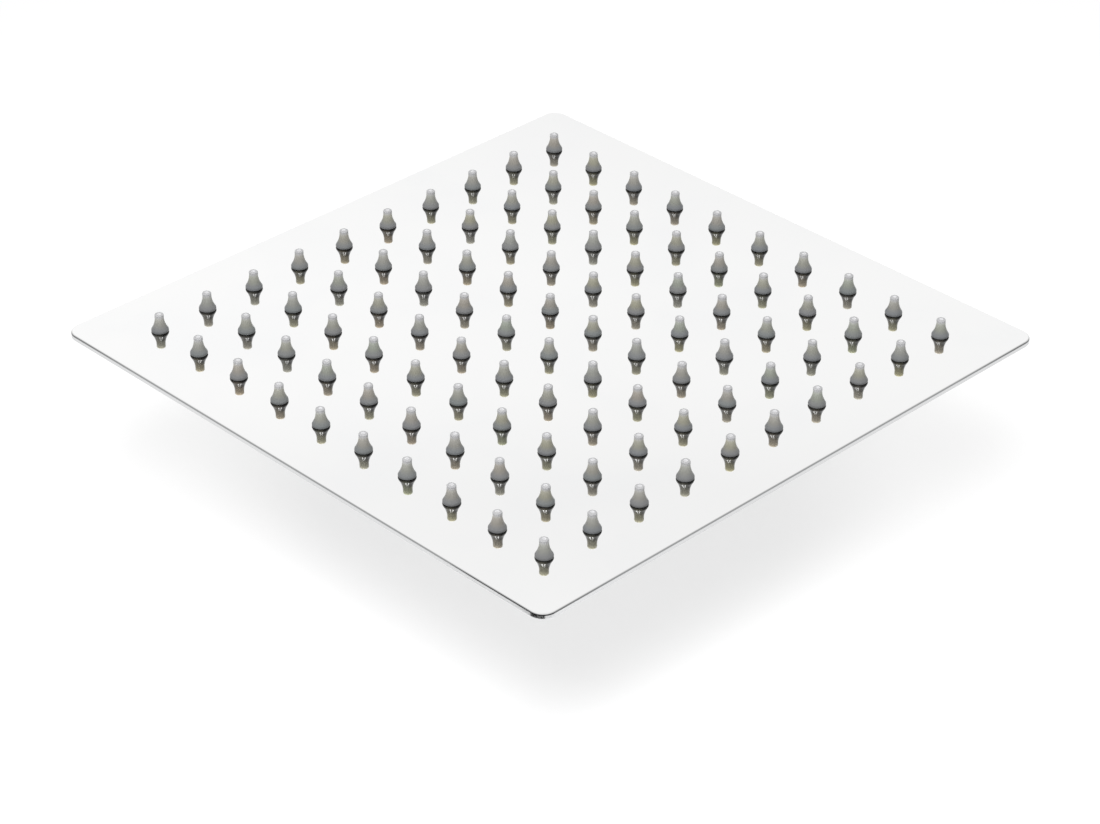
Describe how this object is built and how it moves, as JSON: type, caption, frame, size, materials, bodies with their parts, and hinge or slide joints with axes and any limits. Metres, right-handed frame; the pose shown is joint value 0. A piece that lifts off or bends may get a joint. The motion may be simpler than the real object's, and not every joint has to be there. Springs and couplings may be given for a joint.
{
  "type": "square shower head",
  "caption": "Thin square rain shower head: polished steel plate with a grid of silicone nozzles, domed back and a ball joint with a half inch inlet.",
  "frame": {"origin": "centre of the inlet's mouth, which is the lowest face as the head stands on its inlet", "axes": "+Z out of the spray face, along the inlet's axis; +X and +Y along the square plate's sides, +X being the direction of a nozzle row"},
  "size_m": [0.2, 0.2, 0.0571],
  "materials": {
    "polished_steel": "polished",
    "back_steel": "gloss",
    "silicone": "satin",
    "turned_steel": "satin",
    "chromed_brass": "polished",
    "seal_rubber": "matte",
    "acetal": "satin",
    "regulator_plastic": "satin",
    "screen_steel": "satin"
  },
  "bodies": {
    "inlet": {"ball_stem": "chromed_brass", "flow_regulator": "regulator_plastic", "filter_screen": "screen_steel", "inlet_washer": "seal_rubber"},
    "ring": {"slip_ring": "acetal"},
    "seal": {"ball_seal": "seal_rubber"},
    "head": {"spray_plate": "polished_steel", "back_plate": "back_steel", "head_collar": "turned_steel", "retaining_cap": "chromed_brass", "nozzle_row_1": "silicone", "nozzle_row_2": "silicone", "nozzle_row_3": "silicone", "nozzle_row_4": "silicone", "nozzle_row_5": "silicone", "nozzle_row_6": "silicone", "nozzle_row_7": "silicone", "nozzle_row_8": "silicone", "nozzle_row_9": "silicone", "nozzle_row_10": "silicone"}
  },
  "joints": [
    {"name": "tilt_x", "type": "hinge", "parent": "inlet", "child": "ring", "pos_m": [0, 0, 0.02995], "axis": [1, 0, 0], "range_deg": [-12, 12]},
    {"name": "tilt_y", "type": "hinge", "parent": "ring", "child": "seal", "pos_m": [0, 0, 0.02995], "axis": [0, 1, 0], "range_deg": [-12, 12]},
    {"name": "swivel", "type": "hinge", "parent": "seal", "child": "head", "pos_m": [0, 0, 0.02995], "axis": [0, 0, 1], "continuous": true}
  ]
}
